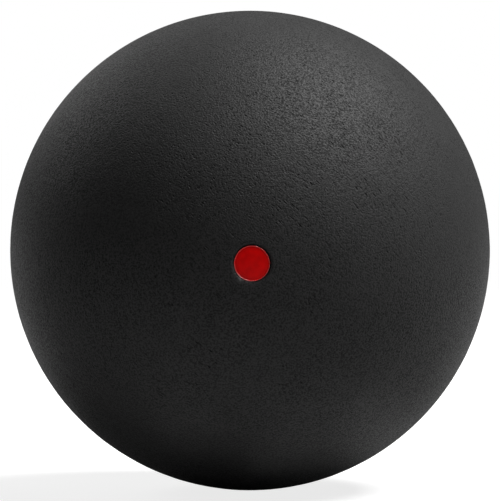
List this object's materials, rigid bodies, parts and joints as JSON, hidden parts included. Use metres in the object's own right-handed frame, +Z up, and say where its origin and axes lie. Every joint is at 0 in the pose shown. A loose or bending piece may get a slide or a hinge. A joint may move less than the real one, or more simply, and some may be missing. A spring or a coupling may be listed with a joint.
{
  "type": "squash ball",
  "caption": "Small hollow matt black rubber ball of bonded half shells, with a red speed dot sunk in its front, for hitting against a court wall.",
  "frame": {"origin": "centre of the ball", "axes": "+Z up, the dot faces -Y along the axis of symmetry, the seam lies in the XZ plane"},
  "size_m": [0.04, 0.0399, 0.04],
  "materials": {
    "black_rubber": "matt, tumbled to a fine grain",
    "cured_adhesive": "dull, as squeezed out",
    "red_paint": "gloss enamel"
  },
  "bodies": {
    "root": {"front_half_shell": "black_rubber", "rear_half_shell": "black_rubber", "seam_adhesive": "cured_adhesive", "speed_dot": "red_paint"}
  },
  "joints": []
}
